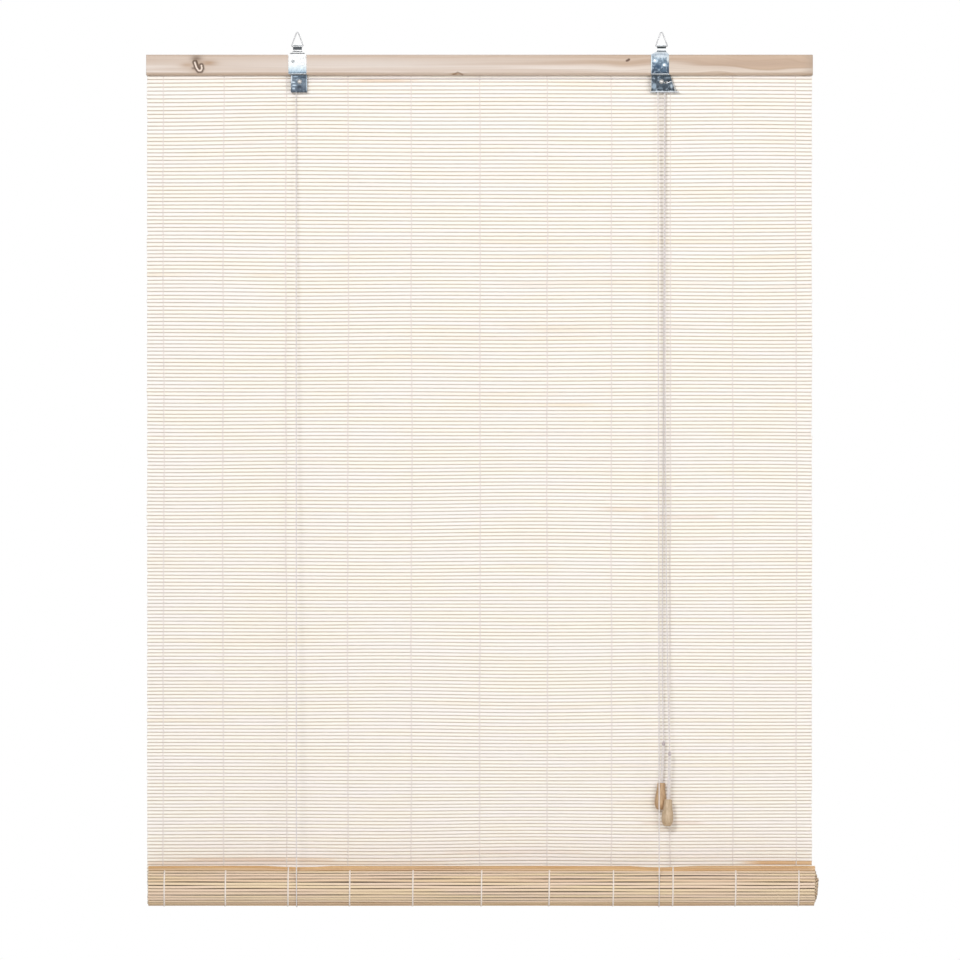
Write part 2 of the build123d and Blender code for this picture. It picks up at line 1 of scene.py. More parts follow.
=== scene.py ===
"""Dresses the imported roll-up blind: reed sticks and threads, twisted cords, wood and plated steel, in a white
studio.

Sizes are in metres, in the part's own frame: X along the batten, -Y is the room side, +Z is up.
"""
import json
import math

import bpy
import numpy as np
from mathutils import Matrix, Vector


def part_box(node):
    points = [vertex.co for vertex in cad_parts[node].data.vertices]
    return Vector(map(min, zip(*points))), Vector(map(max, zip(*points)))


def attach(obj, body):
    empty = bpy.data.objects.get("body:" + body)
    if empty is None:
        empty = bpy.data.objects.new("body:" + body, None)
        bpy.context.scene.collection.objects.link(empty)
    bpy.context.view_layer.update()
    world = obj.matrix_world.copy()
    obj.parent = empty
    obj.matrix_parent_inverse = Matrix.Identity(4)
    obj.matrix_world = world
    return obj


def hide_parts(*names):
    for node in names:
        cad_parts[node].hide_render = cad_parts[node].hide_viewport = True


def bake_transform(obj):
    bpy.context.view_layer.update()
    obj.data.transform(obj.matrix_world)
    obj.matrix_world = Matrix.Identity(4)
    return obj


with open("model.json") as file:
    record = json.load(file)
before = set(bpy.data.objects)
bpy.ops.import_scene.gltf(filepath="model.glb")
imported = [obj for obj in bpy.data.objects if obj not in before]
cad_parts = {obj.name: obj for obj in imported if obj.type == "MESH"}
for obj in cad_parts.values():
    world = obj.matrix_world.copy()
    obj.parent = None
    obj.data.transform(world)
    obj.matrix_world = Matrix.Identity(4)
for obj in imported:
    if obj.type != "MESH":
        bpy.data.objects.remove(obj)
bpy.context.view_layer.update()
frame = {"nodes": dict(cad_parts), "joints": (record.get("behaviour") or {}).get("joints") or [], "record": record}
nodes = frame["nodes"]
joints = {joint["name"]: joint for joint in frame["joints"]}
rng = np.random.default_rng(11)

MM = 0.001
PX = 1.353 * MM  # one pixel of the photograph at the mat
MIDDLE_PX = 479.5  # the pixel column of X = 0
HOOK_PX = 33.0  # the pixel row of Z = 0
SIDES = ("left", "right")


def at_x(px):
    return (px - MIDDLE_PX) * PX


def at_z(py):
    return (HOOK_PX - py) * PX


def middle(node):
    low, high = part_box(node)
    return (low + high) / 2


# Camera
CAMERA_FAR = 14.0
SENSOR = 36.0
FRAME_PX = 960
camera_data = bpy.data.cameras.new("camera")
camera_data.sensor_width = SENSOR
camera_data.lens = SENSOR * CAMERA_FAR / (FRAME_PX * PX)
camera_data.clip_end = 100.0
camera = bpy.data.objects.new("camera", camera_data)
camera.location = (at_x(FRAME_PX / 2), -CAMERA_FAR, at_z(FRAME_PX / 2))
camera.rotation_euler = (math.radians(90), 0, 0)
bpy.context.scene.collection.objects.link(camera)
bpy.context.scene.camera = camera
bpy.context.scene.view_settings.view_transform = "Standard"


# Meshes
def new_object(name, verts, faces, material, smooth=True):
    mesh = bpy.data.meshes.new(name)
    mesh.from_pydata(np.asarray(verts).tolist(), [], faces)
    mesh.update()
    if smooth:
        mesh.polygons.foreach_set("use_smooth", [True] * len(mesh.polygons))
    mesh.materials.append(material)
    obj = bpy.data.objects.new(name, mesh)
    bpy.context.scene.collection.objects.link(obj)
    return obj


def add_values(obj, name, values):
    """A number at every vertex, which the material reads."""
    layer = obj.data.attributes.new(name, "FLOAT", "POINT")
    layer.data.foreach_set("value", np.asarray(values, np.float32))


def tube_faces(rings, sides, first=0):
    """Quads of a tube of so many rings, and its two end caps."""
    faces = []
    for i in range(rings - 1):
        a = first + i * sides
        for j in range(sides):
            k = (j + 1) % sides
            faces.append((a + j, a + k, a + sides + k, a + sides + j))
    faces.append(tuple(first + j for j in reversed(range(sides))))
    faces.append(tuple(first + (rings - 1) * sides + j for j in range(sides)))
    return faces


def blend_evenly(obj):
    """Bakes obj's transform into its mesh, where it stands."""
    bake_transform(obj)


# Materials
def add_node(tree, kind, inputs=(), **settings):
    """A node with its inputs set or linked."""
    made = tree.nodes.new(kind)
    for key, value in settings.items():
        setattr(made, key, value)
    for key, value in dict(inputs).items():
        if isinstance(value, bpy.types.NodeSocket):
            tree.links.new(value, made.inputs[key])
        else:
            made.inputs[key].default_value = value
    return made


class Shader:
    """A material with one Principled shader, and short calls for the nodes that feed it."""

    def __init__(self, name, roughness=0.5, metallic=0.0, **sockets):
        self.material = bpy.data.materials.new(name)
        self.material.use_nodes = True
        self.tree = self.material.node_tree
        self.surface = self.tree.nodes["Principled BSDF"]
        self.surface.inputs["Roughness"].default_value = roughness
        self.surface.inputs["Metallic"].default_value = metallic
        for key, value in sockets.items():
            self.surface.inputs[key.replace("_", " ")].default_value = value
        self.place = self.node("ShaderNodeTexCoord").outputs["Object"]

    def node(self, kind, inputs=(), **settings):
        return add_node(self.tree, kind, inputs, **settings)

    def math(self, operation, a, b=0.0, clamp=False):
        return self.node("ShaderNodeMath", {0: a, 1: b}, operation=operation, use_clamp=clamp).outputs[0]

    def value(self, name):
        return self.node("ShaderNodeAttribute", attribute_name=name).outputs["Fac"]

    def stretched(self, scale, offset=None):
        """The place, scaled along each axis, and moved by an offset along Y."""
        moved = self.node("ShaderNodeVectorMath", {0: self.place, 1: scale}, operation="MULTIPLY").outputs[0]
        if offset is None:
            return moved
        shift = self.node("ShaderNodeCombineXYZ", {"Y": offset}).outputs[0]
        return self.node("ShaderNodeVectorMath", {0: moved, 1: shift}, operation="ADD").outputs[0]

    def noise(self, vector, scale=1.0, detail=3.0, roughness=0.55):
        return self.node(
            "ShaderNodeTexNoise",
            {"Vector": vector, "Scale": scale, "Detail": detail, "Roughness": roughness},
        ).outputs["Fac"]

    def ramp(self, value, *stops):
        """Colours along a value: each stop is its place and colour."""
        made = self.node("ShaderNodeValToRGB", {"Fac": value})
        points = made.color_ramp.elements
        while len(points) < len(stops):
            points.new(0.5)
        for point, (place, colour) in zip(points, stops):
            point.position = place
            point.color = (*colour, 1)
        return made.outputs["Color"]

    def spread(self, value, low, high, to_low=0.0, to_high=1.0):
        """The value's range mapped smoothly to another."""
        return self.node(
            "ShaderNodeMapRange",
            {"Value": value, "From Min": low, "From Max": high, "To Min": to_low, "To Max": to_high},
            interpolation_type="SMOOTHSTEP",
        ).outputs["Result"]

    def spread_evenly(self, value, low, high):
        """The value's range mapped to 0..1 along a straight line."""
        return self.node("ShaderNodeMapRange", {"Value": value, "From Min": low, "From Max": high}).outputs[0]

    def mix(self, share, a, b):
        """A colour between a and b, by a share that is a number or a socket."""
        ends = [colour if isinstance(colour, bpy.types.NodeSocket) else (*colour, 1) for colour in (a, b)]
        return self.node("ShaderNodeMix", {0: share, 6: ends[0], 7: ends[1]}, data_type="RGBA").outputs[2]

    def colour(self, socket):
        self.tree.links.new(socket, self.surface.inputs["Base Color"])

    def rough(self, socket):
        self.tree.links.new(socket, self.surface.inputs["Roughness"])

    def bump(self, height, strength=0.3, distance=0.0003):
        made = self.node("ShaderNodeBump", {"Height": height, "Strength": strength, "Distance": distance})
        self.tree.links.new(made.outputs["Normal"], self.surface.inputs["Normal"])


def srgb(r, g, b):
    """A colour as the photograph's pixels show it, as a linear one."""
    shares = (r / 255, g / 255, b / 255)
    return tuple(c / 12.92 if c <= 0.04045 else ((c + 0.055) / 1.055) ** 2.4 for c in shares)


def reed_material():
    """Split reed: cream on the face and tan on the back, with painted shade in the grooves and faint streaks.
    A golden colour marks sticks gone yellow, and stands as painted warm shade above, on and under the roll."""
    s = Shader("reed", roughness=0.6)
    stick, tone, rear = s.value("stick"), s.value("tone"), s.value("rear")
    groove, gold_and_shade = s.value("groove"), s.value("gold_and_shade")
    fibre = s.noise(s.stretched((14.0, 2200.0, 2200.0), s.math("MULTIPLY", stick, 37.0)), 1.0, 3.0, 0.6)
    patch = s.noise(s.stretched((4.5, 20.0, 20.0), s.math("MULTIPLY", stick, 91.0)), 1.0, 2.0)
    tint = s.noise(s.stretched((7.0, 20.0, 20.0), s.math("MULTIPLY", stick, 53.0)), 1.0, 1.0)
    face = s.mix(s.spread(tint, 0.35, 0.65), srgb(255, 249, 245), srgb(255, 251, 241))
    face = s.mix(s.spread(fibre, 0.4, 0.8, 0.0, 0.45), face, srgb(248, 236, 225))
    streak = s.math("MULTIPLY", s.spread(patch, 0.5, 0.66), s.spread(tone, 0.3, 0.9, 0.0, 0.5))
    face = s.mix(streak, face, srgb(244, 220, 190))
    # Golden colour: sticks gone yellow, and painted warm shade above, on top of and under the roll
    gold_and_warm_shade = s.mix(s.spread(tint, 0.3, 0.7), srgb(206, 156, 98), srgb(226, 184, 130))
    back = s.mix(s.spread(tint, 0.35, 0.65), srgb(236, 211, 187), srgb(236, 213, 178))
    back = s.mix(s.spread(fibre, 0.4, 0.8, 0.0, 0.5), back, srgb(224, 194, 160))
    back = s.mix(s.spread(tone, 0.3, 1.0, 0.0, 0.7), back, srgb(212, 172, 128))
    # Painted shade in the grooves between sticks: greyer on the face, dark brown on the back
    shaded = s.mix(s.spread(tint, 0.35, 0.65), srgb(226, 218, 209), srgb(226, 213, 198))
    face = s.mix(s.spread(groove, 0.08, 0.6), face, shaded)
    groove_shade = s.mix(s.spread(patch, 0.36, 0.6), srgb(72, 54, 38), srgb(178, 150, 122))
    back = s.mix(s.spread(groove, 0.35, 0.95), back, groove_shade)
    cover = s.mix(s.spread(rear, 0.35, 0.65), face, back)
    s.colour(s.mix(s.spread(gold_and_shade, 0.1, 0.9, 0.0, 0.9), cover, gold_and_warm_shade))
    s.rough(s.spread(fibre, 0.2, 0.8, 0.48, 0.68))
    s.bump(fibre, 0.25, 0.0002)
    return s.material


def thread_material(name, colour):
    """Spun cotton thread with a fine slanting twist."""
    s = Shader(name, roughness=0.85)
    twist = s.noise(s.stretched((2600.0, 2600.0, 1500.0)), 1.0, 2.0)
    shade = tuple(c * 0.84 for c in colour)
    s.colour(s.mix(s.spread(twist, 0.35, 0.7), colour, shade))
    s.bump(twist, 0.5, 0.0001)
    return s.material


def cord_material(name, crest, dull, between):
    """Twisted polyester cord, off-white, with shade painted between its strands."""
    s = Shader(name, roughness=0.7, Sheen_Weight=0.2)
    fine = s.noise(s.stretched((3000.0, 3000.0, 1100.0)), 1.0, 3.0)
    crown = s.value("crown")
    light = s.mix(s.spread(fine, 0.3, 0.7), crest, dull)
    # Between the strands the cord is painted darker, as shade
    s.colour(s.mix(s.spread(crown, 0.0, 0.75), between, light))
    s.bump(fine, 0.5, 0.00012)
    return s.material


def bell(s, value, centre, reach):
    """1 where a value is at the centre, and falling off smoothly on both sides."""
    away = s.math("DIVIDE", s.math("SUBTRACT", value, centre), reach)
    return s.math("EXPONENT", s.math("MULTIPLY", s.math("MULTIPLY", away, away), -1.0))


def spot(s, x, z, px, py, half_w, half_h):
    """1 in the middle of a soft oval patch, whose place and half sizes are in pixels."""
    return s.math("MULTIPLY", bell(s, x, at_x(px), half_w * PX), bell(s, z, at_z(py), half_h * PX))


def from_line(s, x, z, start, stop):
    """How many pixels away a straight line between two pixel places is."""
    run_x, run_z = at_x(stop[0]) - at_x(start[0]), at_z(stop[1]) - at_z(start[1])
    whole = run_x**2 + run_z**2
    off_x = s.math("SUBTRACT", x, at_x(start[0]))
    off_z = s.math("SUBTRACT", z, at_z(start[1]))
    along_x = s.math("MULTIPLY", off_x, run_x / whole)
    along_z = s.math("MULTIPLY", off_z, run_z / whole)
    share = s.math("ADD", along_x, along_z, clamp=True)
    off_x = s.math("SUBTRACT", off_x, s.math("MULTIPLY", share, run_x))
    off_z = s.math("SUBTRACT", off_z, s.math("MULTIPLY", share, run_z))
    square = s.math("ADD", s.math("MULTIPLY", off_x, off_x), s.math("MULTIPLY", off_z, off_z))
    return s.math("DIVIDE", s.math("SQRT", square), PX)


def from_lines(s, x, z, places):
    """How many pixels away the nearest part of a bent line is."""
    far = [from_line(s, x, z, start, stop) for start, stop in zip(places, places[1:])]
    nearest = far[0]
    for other in far[1:]:
        nearest = s.math("MINIMUM", nearest, other)
    return nearest


# The batten's knots, in pixels: the big one is a pale hook in a dark outline with a dark tongue inside it
HOOK = ((194.8, 62.4), (196.4, 67.4), (198.6, 70.6), (201.0, 70.6), (201.9, 68.4), (201.4, 65.6))
TONGUE = ((196.6, 60.8), (197.9, 64.8), (199.1, 68.2))
LOW_KNOT = ((453.0, 74.6), (456.0, 73.5), (457.6, 72.3), (460.0, 73.4), (462.5, 74.8))
SPECK = ((626.9, 60.7), (628.0, 60.3), (628.9, 59.6))
# How each line is drawn: how uneven it is, then each stroke's outer and inner reach, strength and colour
KNOT_STROKES = (
    (HOOK, 1.1, ((3.4, 1.7, 0.9, (84, 62, 46)), (1.0, 0.55, 1.0, (234, 216, 202)))),
    (TONGUE, 0.8, ((1.1, 0.5, 0.9, (92, 70, 52)),)),
    (LOW_KNOT, 0.8, ((1.0, 0.3, 0.7, (118, 88, 60)),)),
    (SPECK, 0.8, ((1.7, 0.6, 0.95, (88, 60, 44)),)),
)
# Where the grain parts round them: place and half sizes
PARTINGS = ((198.5, 66.6, 13.0, 5.5), (457.8, 74.9, 11.0, 3.6))
# A wide pale and a wide dark stretch, and the stains round the knots: place, half sizes, colour and strength
STAINS = (
    (345.0, 64.0, 150.0, 4.6, (225, 214, 206), 0.75),
    (748.0, 63.6, 80.0, 4.4, (184, 157, 137), 0.7),
    (196.5, 58.4, 5.4, 3.4, (106, 84, 66), 0.9),
    (208.5, 63.0, 8.5, 3.0, (174, 140, 110), 0.85),
    (187.0, 65.2, 7.0, 2.8, (184, 152, 124), 0.7),
    (197.5, 66.5, 7.0, 6.0, (176, 146, 120), 0.7),
    (193.2, 68.0, 1.5, 1.3, (92, 70, 54), 0.85),
    (193.2, 66.0, 0.8, 1.6, (232, 214, 200), 0.8),
    (455.5, 73.8, 5.0, 1.3, (162, 130, 94), 0.7),
)


def batten_material():
    """Planed softwood: soft level bands of grain, paler low down, that part round the knots. Its lower edge
    is painted browner as shade on its rounded foot, and its right end has a wavy figure."""
    s = Shader("batten_wood", roughness=0.62)
    x, y, z = s.node("ShaderNodeSeparateXYZ", {0: s.place}).outputs
    height = z
    for px, py, half_w, half_h in PARTINGS:
        up = s.math("SUBTRACT", z, at_z(py))
        parted = s.math("MULTIPLY", up, spot(s, x, z, px, py, half_w, half_h))
        height = s.math("SUBTRACT", height, s.math("MULTIPLY", parted, 0.8))
    figure = s.math("SUBTRACT", s.noise(s.stretched((9.0, 20.0, 34.0)), 1.0, 1.0), 0.5)
    figured = s.spread(x, at_x(560), at_x(700), 0.003, 0.03)
    height = s.math("ADD", height, s.math("MULTIPLY", figure, figured))

    def grain(along, across, detail):
        place = s.node("ShaderNodeCombineXYZ", {
            "X": s.math("MULTIPLY", x, along),
            "Y": s.math("MULTIPLY", y, across / 2),
            "Z": s.math("MULTIPLY", height, across),
        }).outputs[0]
        return s.noise(place, 1.0, detail, 0.6)

    fine = grain(5.0, 900.0, 4.0)
    bands = grain(2.2, 170.0, 2.0)
    low = s.spread(height, at_z(64.0), at_z(67.6))
    pale = s.mix(low, srgb(211, 192, 177), srgb(231, 219, 210))
    warm = s.mix(low, srgb(203, 177, 154), srgb(222, 206, 191))
    cloud = s.noise(s.stretched((6.0, 40.0, 40.0)), 1.0, 2.0)
    wood = s.mix(s.spread(s.math("ADD", x, s.math("MULTIPLY", cloud, 0.2)), 0.12, 0.5), pale, warm)
    streaky = s.math("MULTIPLY", s.spread(bands, 0.42, 0.66), s.spread(x, at_x(500), at_x(680), 0.45, 0.8))
    wood = s.mix(streaky, wood, srgb(190, 162, 138))
    wood = s.mix(s.spread(fine, 0.5, 0.8, 0.0, 0.35), wood, srgb(172, 148, 130))
    # Painted shade: the rounded lower edge is darker and browner
    wood = s.mix(s.spread(z, at_z(72.0), at_z(73.2), 0.0, 0.6), wood, srgb(172, 144, 118))
    wood = s.mix(s.spread(z, at_z(56.2), at_z(54.8), 0.0, 0.35), wood, srgb(160, 144, 132))
    wood = s.mix(s.spread(x, at_x(800), at_x(813), 0.0, 0.4), wood, srgb(168, 152, 136))
    for px, py, half_w, half_h, tone, strength in STAINS:
        share = s.math("MULTIPLY", spot(s, x, z, px, py, half_w, half_h), s.spread(fine, 0.3, 0.6, 0.7, 1.0))
        wood = s.mix(s.math("MULTIPLY", share, strength), wood, srgb(*tone))
    rough = s.math("SUBTRACT", s.noise(s.stretched((700.0, 90.0, 700.0)), 1.0, 2.0), 0.5)
    for places, uneven, strokes in KNOT_STROKES:
        away = s.math("ADD", from_lines(s, x, z, places), s.math("MULTIPLY", rough, uneven))
        for outer, inner, strength, tone in strokes:
            wood = s.mix(s.spread(away, outer, inner, 0.0, strength), wood, srgb(*tone))
    s.colour(wood)
    s.bump(fine, 0.3, 0.0003)
    return s.material


def wood_material(name, light, dark, along):
    """Plain close wood whose grain runs along one axis: 0, 1 or 2."""
    s = Shader(name, roughness=0.5)
    stretch = [900.0] * 3
    stretch[along] = 30.0
    grain = s.noise(s.stretched(tuple(stretch)), 1.0, 4.0, 0.6)
    cloud = s.noise(s.place, 90.0, 2.0)
    wood = s.mix(s.spread(grain, 0.35, 0.72), light, dark)
    s.colour(s.mix(s.spread(cloud, 0.45, 0.75, 0.0, 0.4), wood, dark))
    s.bump(grain, 0.3, 0.0002)
    return s.material


# The plates mirror the lamps as well as the room, so each one's painted reflections are held back by its share
LEFT_SHARE = 0.31
RIGHT_SHARE = 0.6


def held_back(tone, share):
    return tuple(c * share for c in srgb(*tone))


def plated_material(name, rows, glints, gain, reflection_mottle, edge_light):
    """Bright zinc plate, with reflections painted in level bands on the faces turned to the room: each has a
    pixel row and a colour. Painted mottling and soft painted highlights and dark patches break them up."""
    s = Shader(name, roughness=0.3, metallic=1.0)
    x, _, z = s.node("ShaderNodeSeparateXYZ", {0: s.place}).outputs
    mottling = s.noise(s.place, 330.0, 3.0)
    wobble = s.math("MULTIPLY", s.math("SUBTRACT", s.noise(s.place, 120.0, 2.0), 0.5), 0.0005)
    first, last = rows[0][0], rows[-1][0]
    share = s.spread_evenly(s.math("ADD", z, wobble), at_z(first), at_z(last))
    bands = s.ramp(share, *[((row - first) / (last - first), held_back(tone, gain)) for row, tone in rows])
    # Painted mottled reflections below the plate's top: light and dark blotches
    below = s.spread(z, at_z(54), at_z(57), 0.0, reflection_mottle)
    bands = s.mix(s.math("MULTIPLY", s.spread(mottling, 0.52, 0.72), below), bands, srgb(176, 190, 204))
    bands = s.mix(s.math("MULTIPLY", s.spread(mottling, 0.48, 0.3), below), bands, srgb(38, 46, 54))
    # Painted highlights and dark reflection patches
    for px, py, half_w, half_h, tone, strength in glints:
        patch = s.math("MULTIPLY", spot(s, x, z, px, py, half_w, half_h), strength)
        bands = s.mix(s.spread(patch, 0.15, 0.75, 0.0, strength), bands, held_back(tone, gain))
    # The painted reflections go only on faces turned to the room
    normal = s.node("ShaderNodeNewGeometry").outputs["Normal"]
    facing = s.node("ShaderNodeSeparateXYZ", {0: normal}).outputs["Y"]
    plain = s.mix(s.spread(mottling, 0.35, 0.65), srgb(*edge_light), srgb(150, 158, 166))
    s.colour(s.mix(s.spread(facing, -0.9, -0.5), bands, plain))
    brushed = s.noise(s.stretched((2200.0, 2200.0, 160.0)), 1.0, 3.0)
    s.rough(s.spread(brushed, 0.25, 0.75, 0.2, 0.4))
    s.bump(s.noise(s.place, 160.0, 2.0), 0.2, 0.0003)
    return s.material


def plain_metal(name, colour, roughness, stained=0.5):
    """Small steel pieces, with faint scratches and stains."""
    s = Shader(name, roughness=roughness, metallic=1.0)
    stain = s.noise(s.place, 700.0, 3.0)
    s.colour(s.mix(s.spread(stain, 0.4, 0.75, 0.0, stained), colour, tuple(c * 0.55 for c in colour)))
    s.rough(s.spread(stain, 0.3, 0.7, roughness * 0.7, roughness * 1.6))
    s.bump(stain, 0.2, 0.0001)
    return s.material


def plastic_material():
    s = Shader("roller_plastic", roughness=0.4)
    wear = s.noise(s.place, 600.0, 3.0)
    s.colour(s.mix(s.spread(wear, 0.4, 0.75), srgb(232, 230, 222), srgb(206, 202, 190)))
    s.bump(wear, 0.1, 0.0001)
    return s.material


REED = reed_material()
FRONT_THREAD = thread_material("front_thread", srgb(243, 234, 228))
BACK_THREAD = thread_material("back_thread", srgb(250, 238, 228))
CORD = cord_material("cord", srgb(255, 252, 250), srgb(240, 233, 231), srgb(180, 166, 163))
# The knots' cord is the same cord, painted darker as the shade in their tight wraps
SHADED_KNOT_CORD = cord_material("shaded_knot_cord", srgb(240, 230, 231), srgb(216, 204, 207), srgb(140, 126, 130))

# Painted reflections and shade on each bracket, from its barrel to its housing's foot: pixel row and colour
LEFT_BANDS = (
    (44.0, (246, 247, 248)), (46.4, (246, 247, 248)), (46.9, (84, 88, 92)), (49.7, (96, 100, 104)),
    (50.2, (250, 250, 250)), (51.1, (248, 249, 250)), (51.4, (120, 124, 128)), (51.8, (120, 124, 128)),
    (52.1, (250, 250, 250)), (52.8, (246, 247, 248)), (53.0, (58, 62, 66)), (53.7, (58, 62, 66)),
    (54.0, (248, 249, 250)), (64.0, (250, 253, 254)), (68.5, (224, 238, 246)), (72.3, (166, 188, 206)),
    (72.9, (70, 84, 98)), (73.6, (216, 226, 234)), (74.6, (232, 238, 242)), (75.2, (84, 98, 112)),
    (79.0, (108, 122, 136)), (84.0, (124, 138, 152)), (90.5, (96, 108, 122)), (92.4, (70, 80, 92)),
)
# Painted highlights and darker painted reflections over them: place, half sizes, colour and strength
LEFT_GLINTS = (
    (293.3, 82.3, 1.9, 0.8, (214, 230, 242), 1.0), (294.4, 85.3, 2.2, 0.8, (204, 222, 238), 1.0),
    (293.6, 88.4, 1.7, 1.0, (196, 214, 230), 0.9), (291.6, 79.0, 0.8, 5.0, (222, 232, 240), 0.9),
    (306.9, 84.0, 0.8, 9.0, (200, 214, 226), 0.9), (299.5, 87.2, 3.6, 2.2, (62, 70, 80), 0.8),
    (303.0, 77.6, 3.4, 1.2, (70, 84, 98), 0.8), (295.5, 76.6, 3.0, 0.6, (170, 190, 208), 0.9),
)
RIGHT_BANDS = (
    (44.0, (240, 242, 244)), (46.1, (240, 242, 244)), (46.6, (58, 62, 64)), (48.3, (66, 70, 72)),
    (48.8, (236, 240, 242)), (50.3, (230, 234, 238)), (50.8, (112, 120, 126)), (51.8, (126, 134, 140)),
    (52.3, (200, 208, 214)), (55.0, (160, 172, 184)), (57.0, (174, 190, 202)), (60.0, (124, 142, 158)),
    (66.0, (96, 114, 132)), (72.6, (58, 72, 88)), (73.4, (52, 64, 78)), (73.9, (226, 232, 236)),
    (74.7, (220, 226, 232)), (75.3, (62, 72, 80)), (84.0, (84, 94, 104)), (90.6, (56, 64, 72)),
    (91.3, (206, 212, 218)), (92.4, (190, 196, 202)),
)
RIGHT_GLINTS = (
    (655.2, 60.8, 2.8, 2.0, (208, 228, 244), 1.0), (664.3, 64.9, 2.3, 1.8, (198, 222, 240), 1.0),
    (661.0, 56.4, 7.0, 1.6, (206, 216, 224), 0.9), (668.0, 58.5, 1.3, 4.5, (206, 212, 214), 0.9),
    (657.5, 66.8, 4.0, 2.6, (64, 84, 106), 0.8), (664.0, 70.4, 3.4, 1.8, (92, 112, 130), 0.8),
    (651.4, 64.0, 0.8, 10.0, (216, 226, 232), 0.9), (659.0, 70.0, 1.4, 1.6, (134, 154, 172), 0.8),
    (654.2, 86.4, 2.4, 3.6, (150, 166, 180), 0.9), (660.6, 88.2, 2.6, 1.3, (122, 136, 148), 0.8),
    (667.6, 77.8, 3.6, 1.1, (124, 138, 150), 0.8), (671.6, 86.4, 1.4, 2.4, (168, 180, 190), 0.9),
    (651.0, 83.0, 0.8, 8.0, (200, 210, 218), 0.9),
)
slot_materials = {
    "batten_wood": batten_material(),
    "rail_wood": wood_material("rail_wood", srgb(226, 198, 158), srgb(184, 148, 106), 0),
    "ring_wire": plain_metal("ring_wire", (0.47, 0.47, 0.48), 0.5, 0.15),
    "nail_steel": plain_metal("nail_steel", (0.75, 0.77, 0.8), 0.3),
    "rivet_steel": plain_metal("rivet_steel", (0.46, 0.45, 0.44), 0.4),
    "lock_steel": plain_metal("lock_steel", (0.2, 0.2, 0.21), 0.4),
    "staple_wire": plain_metal("staple_wire", (0.6, 0.6, 0.6), 0.35),
    "roller_plastic": plastic_material(),
}
node_materials = {
    "left_bracket": plated_material("left_plate", LEFT_BANDS, LEFT_GLINTS, LEFT_SHARE, 0.14, (222, 230, 236)),
    "right_bracket": plated_material(
        "right_plate", RIGHT_BANDS, RIGHT_GLINTS, RIGHT_SHARE, 0.45, (214, 222, 228),
    ),
    "left_outer_nail": plain_metal("dull_nail", (0.2, 0.21, 0.22), 0.45),
    # The rear tassel's wood is darker and more orange than the front's: partly its own colour, partly painted
    # shade, as it hangs behind
    "rear_tassel": wood_material("rear_tassel_wood", srgb(206, 172, 134), srgb(164, 130, 96), 2),
    "front_tassel": wood_material("front_tassel_wood", srgb(212, 188, 158), srgb(176, 150, 118), 2),
}
slot_of = {part["node"]: part["material_slot"] for part in frame["record"]["subparts"]}
for name, node in nodes.items():
    material = node_materials.get(name) or slot_materials.get(slot_of.get(name)) or CORD
    if not node.material_slots:
        node.data.materials.append(material)
    for used in node.material_slots:
        used.material = material

# Reed sticks
mat_low, mat_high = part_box("reed_mat")
MAT_Y = (mat_low.y + mat_high.y) / 2
MAT_TOP = mat_high.z
MAT_FOOT = mat_low.z
MAT_HALF = (mat_high.x - mat_low.x) / 2
PITCH_TOP = 5.25 * MM
PITCH_BOTTOM = 4.5 * MM
STICKS = round((MAT_TOP - MAT_FOOT) / ((PITCH_TOP + PITCH_BOTTOM) / 2))
STATIONS = 43
# Stations along a stick, with one close to each end so that the ends shade square
SHARES = np.concatenate([[0], np.linspace(0.0005, 0.9995, STATIONS - 2), [1]])
ACROSS = 2 * SHARES - 1
STICK_T = 3.1 * MM
RAGGED = 0.55 * MM  # how unevenly the sticks' ends stand
STICK_WAVE = 0.09 * MM
MAT_WAVE = 0.9 * MM
BOW = 2.0 * MM  # the top sticks rise by this at the middle of the mat
BOW_STICKS = 26
BOW_EASE = 6  # sticks over which the bow sets in
STICK_SWELL = 1.005  # so that neighbouring sticks touch
LEAST_PITCH = PITCH_BOTTOM * 0.62
GOLDEN_EASE = 18  # pixels over which a golden stretch fades out

# Stretches of the mat's sticks painted golden: pixel row, first and last column, and how much. Most are sticks
# gone yellow; those at rows 859 and 863, just above the roll, are painted warm shade where the mat goes behind it.
GOLDEN_AND_SHADED = (
    (80.8, 340, 425, 0.4), (86.0, 540, 640, 0.25), (112.0, 200, 300, 0.2), (338.0, 420, 610, 0.25),
    (509.0, 585, 660, 0.35), (519.0, 630, 730, 0.3), (640.0, 150, 330, 0.25), (824.0, 630, 720, 0.35),
    (829.0, 640, 705, 0.3), (855.0, 430, 600, 0.3), (859.0, 170, 345, 0.45), (862.8, 735, 830, 0.8),
    (862.8, 120, 460, 0.35),
)

# Half of a stick's section, as shares of half its thickness (front is negative) and of half its height
UPPER_SECTION = [(-1.0, 0.5), (-0.9, 0.76), (-0.5, 0.96), (0.0, 1.0), (0.5, 0.96), (0.9, 0.76), (1.0, 0.5)]
SECTION = np.array(UPPER_SECTION + [(depth, -height) for depth, height in reversed(UPPER_SECTION)])
# How far into its groove each section point lies, which sets the painted groove shade
GROOVE = np.clip((np.abs(SECTION[:, 1]) - 0.5) / 0.46, 0, 1)


def groove_share(index):
    """How far down the mat a groove lies, as the pitch shrinks downwards."""
    share = index / STICKS
    return (PITCH_TOP * share - (PITCH_TOP - PITCH_BOTTOM) * share**2 / 2) / ((PITCH_TOP + PITCH_BOTTOM) / 2)


def waves(count, amplitude, lengths):
    """A smooth random line at the stations, one row for each of count, as a sum of sines."""
    out = np.zeros((count, STATIONS))
    for length in lengths:
        phase = rng.uniform(0, 2 * math.pi, (count, 1))
        size = rng.normal(0, 1, (count, 1)) * amplitude / math.sqrt(len(lengths))
        out += size * np.sin(ACROSS * math.pi / length + phase)
    return out


def stick_ends(count, left, right):
    """Each stick's stations along X, from ragged end to ragged end."""
    starts = left + rng.normal(0, RAGGED * 0.6, count)
    stops = right + rng.normal(0, RAGGED * 0.6, count)
    return starts[:, None] + (stops - starts)[:, None] * SHARES


